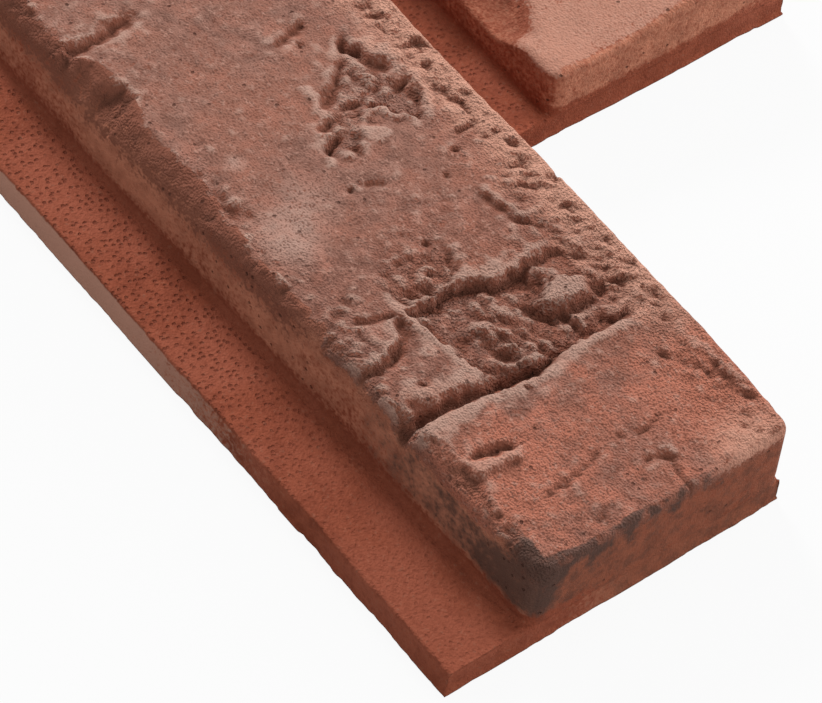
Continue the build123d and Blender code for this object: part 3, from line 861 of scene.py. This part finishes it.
    # How sandy the surface is, and where the old skin broke
    sand = np.where(on_brick, 0.35 + 0.65 * fade(rise, 0.85, 1.0), 0.17)
    first_sand = sand * (0.3 + 0.3 * fade(x, -72, -58) + 0.25 * fade(y, 58, 68))
    sand = np.where(first_brick & (rise > 0.9), first_sand, sand)
    sand = sand * (1 - 0.65 * worn_share) * np.where(first_brick, 1.0, 0.7)
    sand = np.where(on_brick & (rise < 0.8), 0.2, sand)
    sand = np.clip(sand + 0.6 * net["broken"] * fade(rise, 0.6, 0.9), 0, 2)
    sand = sand * (1 - 0.6 * np.clip(worn_and_lit_corner, 0, 1))
    skin = np.where(on_brick, fade(rise, 0.78, 0.95) * (1 - 0.75 * worn_share), 0)
    # Painted highlight on convex rims
    rim = skin * fade(-hollow, 0.12, 0.5) * np.where(first_brick, 1.0, 0.4)
    # Painted shade where the marks dip below their surroundings, in cracks and creases
    crevice_shade = skin * fade(blurred(marks, 2) - marks, 0.07, 0.34) * np.where(first_brick, 1.0, 0.4)
    crumbly = np.clip(net["broken"], 0, 1) * fade(rise, 0.86, 0.97)
    return {
        "skin": skin, "crumbly": crumbly, "crevice_shade": crevice_shade, "rim": rim, "brush_and_light": brush_and_light, "wash_and_light": wash_and_light,
        "umber": umber, "soot": np.clip(soot, 0, 1), "grey_and_highlight": grey_and_highlight, "red": red, "joint": joint, "pits": pits,
        "foot": foot, "sand": sand, "pale": pale, "shaded": np.where(first_end, 1.0, 0.0),
    }


finishes = [course_finish(net) for net in (near_course, far_course)]
edges = points[near_course["x"].size + far_course["x"].size :]
from_right, from_near = edges[:, 0] - tile_length / 2, edges[:, 1] + tile_width / 2
# Painted light on the bed's near side, strongest towards its left end, laid with the pale coat and the wash
lit_near_edge = (1 - fade(from_near, 1, 3)) * fade(-from_right, 40, 100)
end_edge = 0.95 * fade(from_right, -3, -1) * fade(from_near, 22, 44)
edge_finish = {
    "joint": 1.0, "sand": 0.18, "brush_and_light": lit_near_edge, "pale": lit_near_edge,
    "wash_and_light": lit_near_edge + end_edge, "shaded": end_edge,
}
for name in finishes[0]:
    values = np.concatenate([finish[name].ravel() for finish in finishes])
    values = np.concatenate([values, np.zeros(len(edges)) + edge_finish.get(name, 0.0)])
    layer = net.attributes.new(name, "FLOAT", "POINT")
    layer.data.foreach_set("value", values.astype(np.float32))

plaster = bpy.data.materials.new("coloured_plaster")
plaster.use_nodes = True
tree = plaster.node_tree
tree.nodes.clear()


def node(kind, inputs=(), **settings):
    """A shader node with its settings, and its inputs linked or set."""
    made = tree.nodes.new(kind)
    for name, value in settings.items():
        setattr(made, name, value)
    for place, value in dict(inputs).items():
        if isinstance(value, bpy.types.NodeSocket):
            tree.links.new(value, made.inputs[place])
        else:
            made.inputs[place].default_value = value
    return made


def sum_of(first, second, operation="ADD"):
    """Two numbers added, or joined by another operation."""
    return node("ShaderNodeMath", {0: first, 1: second}, operation=operation).outputs[0]


def product(first, second):
    """Two numbers multiplied."""
    return sum_of(first, second, "MULTIPLY")


def swing(cloud, amount):
    """A cloud's swing to both sides of its middle, made larger or smaller."""
    return product(sum_of(cloud, 0.5, "SUBTRACT"), amount)


def step_between(value, start, stop):
    """0 below start, 1 above stop, smooth between them; start may be the larger."""
    ends = {"Value": value, "From Min": start, "From Max": stop}
    return node("ShaderNodeMapRange", ends, interpolation_type="SMOOTHSTEP").outputs["Result"]


def mixed(share, first, second):
    """The first colour where the share is 0, and the second where it is 1."""
    colours = [(*colour, 1) if isinstance(colour, tuple) else colour for colour in (first, second)]
    made = node("ShaderNodeMix", {"Factor": share, 6: colours[0], 7: colours[1]}, data_type="RGBA")
    return made.outputs[2]


def coated(colour, share, strength, coat):
    """A colour under a coat that lies where the share says, and is no denser than the strength."""
    return mixed(product(share, strength), colour, coat)


def layer_of(name):
    """How much of a coat lies at each point, as worked out above."""
    return node("ShaderNodeAttribute", attribute_name=name).outputs["Fac"]


metres = node("ShaderNodeTexCoord").outputs["Object"]
place = node("ShaderNodeVectorMath", {0: metres, "Scale": 1000.0}, operation="SCALE").outputs[0]


def clouds(size, detail=3.0, roughness=0.55):
    """Cloudy variation whose lumps have that size in millimetres."""
    settings = {"Vector": place, "Scale": 1 / size, "Detail": detail, "Roughness": roughness}
    return node("ShaderNodeTexNoise", settings).outputs["Fac"]


wide, lump, fine, grain = clouds(17), clouds(3.6, 2, 0.6), clouds(0.95, 1.5, 0.6), clouds(0.42, 0.5, 0.5)

# Air bubbles: close together in the joint, few and small in the bricks
drift_noise = node("ShaderNodeTexNoise", {"Vector": place, "Scale": 0.9, "Detail": 3.0}).outputs["Color"]
drift_sum = {0: drift_noise, 1: (0.6, 0.6, 0.6), 2: place}
drift = node("ShaderNodeVectorMath", drift_sum, operation="MULTIPLY_ADD").outputs[0]
bubble_spacing, pore_spacing = 1.3, 2.0
cells = node("ShaderNodeTexVoronoi", {"Vector": drift, "Scale": 1 / bubble_spacing}, voronoi_dimensions="2D")
open_cell = step_between(cells.outputs["Color"], 0.05, 0.7)
joint_bubble = product(step_between(cells.outputs["Distance"], 0.36, 0.1), open_cell)
pores = node("ShaderNodeTexVoronoi", {"Vector": drift, "Scale": 1 / pore_spacing})
open_pore = step_between(pores.outputs["Color"], 0.6, 0.75)
pore = product(step_between(pores.outputs["Distance"], 0.2, 0.08), open_pore)

joint_share, sand_share = layer_of("joint"), layer_of("sand")
bubble = product(joint_bubble, layer_of("pits"))
brick_pore = product(pore, sum_of(1.0, joint_share, "SUBTRACT"))

# Bare plaster, tinted red, with painted shade in the dips of its fine relief, in the crease at the bricks'
# feet and in the bubbles, and darker along the near course's joint towards its right end
bare = mixed(step_between(lump, 0.35, 0.65), (0.285, 0.073, 0.037), (0.230, 0.056, 0.028))
bare = mixed(step_between(wide, 0.4, 0.62), bare, (0.308, 0.084, 0.046))
# Painted shade in the dips of the fine relief
bare = coated(bare, step_between(fine, 0.52, 0.3), 0.3, (0.150, 0.034, 0.017))
# Painted shade in the crease at the bricks' feet, and a darker joint towards the right
bare = coated(bare, layer_of("foot"), 0.5, (0.17, 0.042, 0.022))
# Painted shade in the bubbles
bare = coated(bare, bubble, 0.62, (0.125, 0.027, 0.014))

# The brown wash on the walls, mottled on the shaded end, with umber and the brown under the pale coat
washed = mixed(step_between(lump, 0.3, 0.7), (0.50, 0.200, 0.120), (0.37, 0.140, 0.083))
mottled = mixed(step_between(clouds(3.4, 5, 0.75), 0.36, 0.6), (0.130, 0.043, 0.026), (0.250, 0.072, 0.038))
washed = coated(washed, layer_of("shaded"), 0.85, mottled)
wash_share = step_between(sum_of(layer_of("wash_and_light"), swing(fine, 1.6)), 0.1, 0.9)
colour = mixed(wash_share, bare, washed)
umber_share = step_between(sum_of(layer_of("umber"), swing(fine, 2.2)), 0.2, 0.9)
colour = coated(colour, umber_share, 0.85, (0.185, 0.064, 0.040))
colour = coated(colour, layer_of("skin"), 0.85, (0.225, 0.080, 0.050))

# The pale lime-and-clay coat, greyer and redder in patches, with painted highlights on rims and on the tops
# of the fine relief, painted shade in the grain's dips, and paler on worn places, partly as painted light
pale = mixed(step_between(lump, 0.3, 0.7), (0.255, 0.116, 0.084), (0.165, 0.069, 0.048))
pale = mixed(step_between(wide, 0.4, 0.6), pale, (0.235, 0.092, 0.061))
pale = coated(pale, layer_of("grey_and_highlight"), 0.75, (0.37, 0.238, 0.192))
pale = coated(pale, layer_of("red"), 0.7, (0.42, 0.142, 0.088))
# Painted highlights on the tops of the fine relief, and painted shade in the dips of the grain
pale = coated(pale, step_between(fine, 0.55, 0.74), 0.6, (0.38, 0.205, 0.155))
pale = coated(pale, step_between(grain, 0.44, 0.3), 0.65, (0.11, 0.046, 0.033))
# Painted highlight on convex rims
pale = coated(pale, layer_of("rim"), 0.45, (0.42, 0.255, 0.198))
pale = coated(pale, layer_of("pale"), 0.9, (0.50, 0.255, 0.182))
speckle = sum_of(swing(fine, 1.2), swing(grain, 1.0))
brush_share = step_between(sum_of(layer_of("brush_and_light"), speckle), 0.12, 0.8)
brush_share = product(brush_share, step_between(layer_of("brush_and_light"), 0.02, 0.3))
colour = mixed(brush_share, colour, pale)

# Soot, and then painted shade in cracks, creases and pores, over all the coats
soot_specks = sum_of(swing(lump, 0.8), swing(fine, 0.9))
soot_share = step_between(sum_of(layer_of("soot"), soot_specks), 0.1, 0.95)
soot_share = product(soot_share, step_between(layer_of("soot"), 0.02, 0.2))
colour = coated(colour, soot_share, 0.88, (0.080, 0.046, 0.036))
colour = coated(colour, layer_of("crevice_shade"), 0.55, (0.085, 0.033, 0.021))
# Painted shade in the pores
colour = coated(colour, brick_pore, 0.7, (0.07, 0.022, 0.013))

# The fine relief, in millimetres: sand, crumbs' creases, bubbles and pores
relief = sum_of(product(lump, 0.5), product(clouds(1.9, 1, 0.5), 0.18))
relief = sum_of(relief, product(fine, 0.25))
relief = product(relief, sand_share)
grain_share = sum_of(product(sand_share, 0.65), 0.08)
relief = sum_of(relief, product(grain, grain_share))
crease_cells = {"Vector": drift, "Scale": 1 / bubble_spacing}
crease = node("ShaderNodeTexVoronoi", crease_cells, feature="DISTANCE_TO_EDGE").outputs["Distance"]
crease = product(step_between(crease, 0.0, 0.2), 0.16)
relief = sum_of(relief, product(crease, layer_of("crumbly")))
relief = sum_of(relief, product(bubble, 0.28), "SUBTRACT")
relief = sum_of(relief, product(brick_pore, 0.4), "SUBTRACT")
bump = node("ShaderNodeBump", {"Height": relief, "Strength": 1.0, "Distance": 0.001})

shader = node("ShaderNodeBsdfPrincipled", {"Base Color": colour, "Normal": bump.outputs["Normal"]})
shader.inputs["Roughness"].default_value = 0.85
shader.inputs["Specular IOR Level"].default_value = 0.12
node("ShaderNodeOutputMaterial", {"Surface": shader.outputs[0]})
net.materials.append(plaster)

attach(tile, "root")
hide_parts("cladding_tile")

# The studio: a plain white floor that keeps a soft shadow, a large soft lamp behind the tile on its left, a
# weak one on its right, a small one that catches the far edges, and even light from all round.
floor_net = bpy.data.meshes.new("floor")
floor_net.from_pydata([(-4, -4, 0), (4, -4, 0), (4, 4, 0), (-4, 4, 0)], [], [(0, 1, 2, 3)])
floor = bpy.data.objects.new("floor", floor_net)
floor.location.z = -0.0002
bpy.context.scene.collection.objects.link(floor)
paper = bpy.data.materials.new("white_floor")
paper.use_nodes = True
tree = paper.node_tree
tree.nodes.clear()
matt = node("ShaderNodeBsdfDiffuse", {"Color": (0.5, 0.5, 0.5, 1)})
glow = node("ShaderNodeEmission", {"Color": (1, 1, 1, 1), "Strength": 1.0})
seen = product(node("ShaderNodeLightPath").outputs["Is Camera Ray"], 0.93)
both = node("ShaderNodeMixShader", {0: seen, 1: matt.outputs[0], 2: glow.outputs[0]})
node("ShaderNodeOutputMaterial", {"Surface": both.outputs[0]})
floor_net.materials.append(paper)


def round_lamp(name, width, power, place, lit):
    """A soft round lamp, turned towards the place that it lights."""
    light = bpy.data.lights.new(name, "AREA")
    light.shape = "DISK"
    light.size = width
    light.energy = power
    lamp = bpy.data.objects.new(name, light)
    lamp.location = place
    lamp.rotation_euler = (Vector(lit) - lamp.location).to_track_quat("-Z", "Y").to_euler()
    bpy.context.scene.collection.objects.link(lamp)


round_lamp("soft_lamp", 0.85, 93, (-2.5, 0.48, 1.62), (0.08, -0.03, 0))
round_lamp("fill_lamp", 1.4, 8, (1.6, 0.35, 0.9), (0.08, -0.03, 0))
round_lamp("rim_lamp", 0.3, 3.2, (0.20, 0.62, 0.30), (0.17, 0.0, 0.01))

world = bpy.data.worlds.new("studio")
bpy.context.scene.world = world
world.use_nodes = True
sky = world.node_tree.nodes["Background"]
sky.inputs["Color"].default_value = (1, 1, 1, 1)
sky.inputs["Strength"].default_value = 0.5

# The camera looks down on the right end of the near course, as the photograph does, rolled a little
camera_data = bpy.data.cameras.new("camera")
camera_data.sensor_width = 36
camera_data.lens = 211.46
camera = bpy.data.objects.new("camera", camera_data)
camera.location = (0.52079, -0.43614, 0.68170)
aim = Vector((0.16877, -0.04861, 0.0224)) - camera.location
roll = Matrix.Rotation(math.radians(12.0436), 3, "Z").to_quaternion()
camera.rotation_euler = (aim.to_track_quat("-Z", "Y") @ roll).to_euler()
bpy.context.scene.collection.objects.link(camera)
bpy.context.scene.camera = camera
bpy.context.scene.view_settings.view_transform = "Standard"
